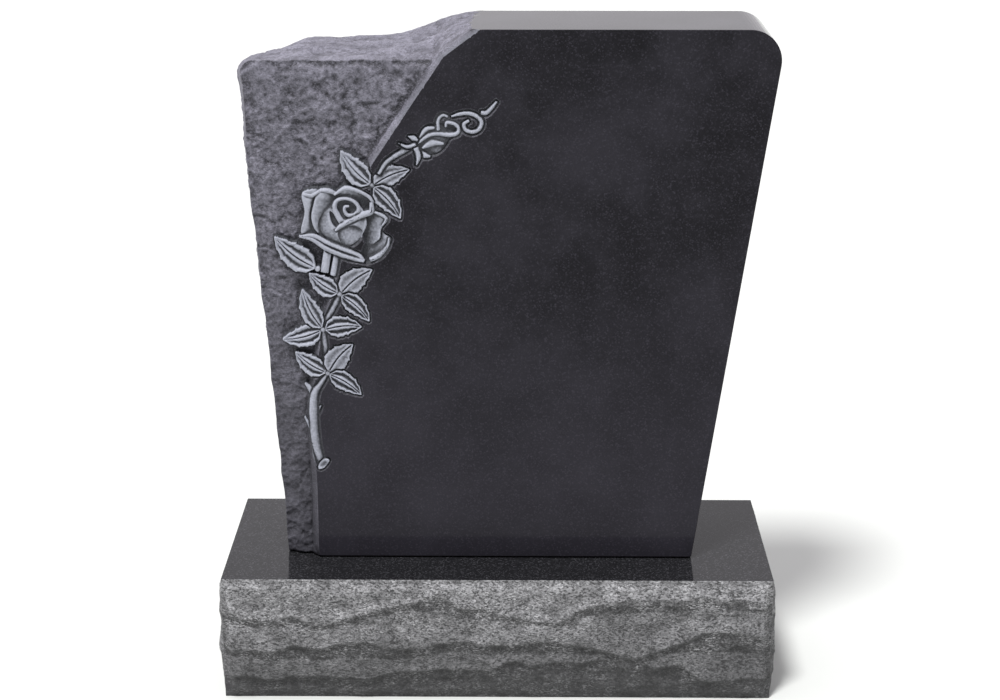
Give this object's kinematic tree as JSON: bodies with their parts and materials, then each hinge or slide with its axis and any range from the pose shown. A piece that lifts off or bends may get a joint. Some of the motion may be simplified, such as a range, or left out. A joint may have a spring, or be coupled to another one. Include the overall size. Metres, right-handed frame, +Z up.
{
  "type": "granite monument",
  "caption": "Upright granite memorial: leaning tablet with a polished panel, rock-pitched left part and carved rose branch, on a rock-pitched base.",
  "frame": {"origin": "centre of the base's underside", "axes": "+Z up, -Y towards the carved and polished front, +X to the viewer's right"},
  "size_m": [0.9359, 0.3929, 1.11],
  "materials": {
    "base_granite": "rock-pitched grey granite on the sides, polished dark on top",
    "setting_compound": "matte black setting bed",
    "tablet_granite": "polished blue-black granite, light grey where carved or pitched"
  },
  "bodies": {
    "root": {"base": "base_granite", "setting_bed": "setting_compound", "tablet": "tablet_granite"}
  },
  "joints": []
}
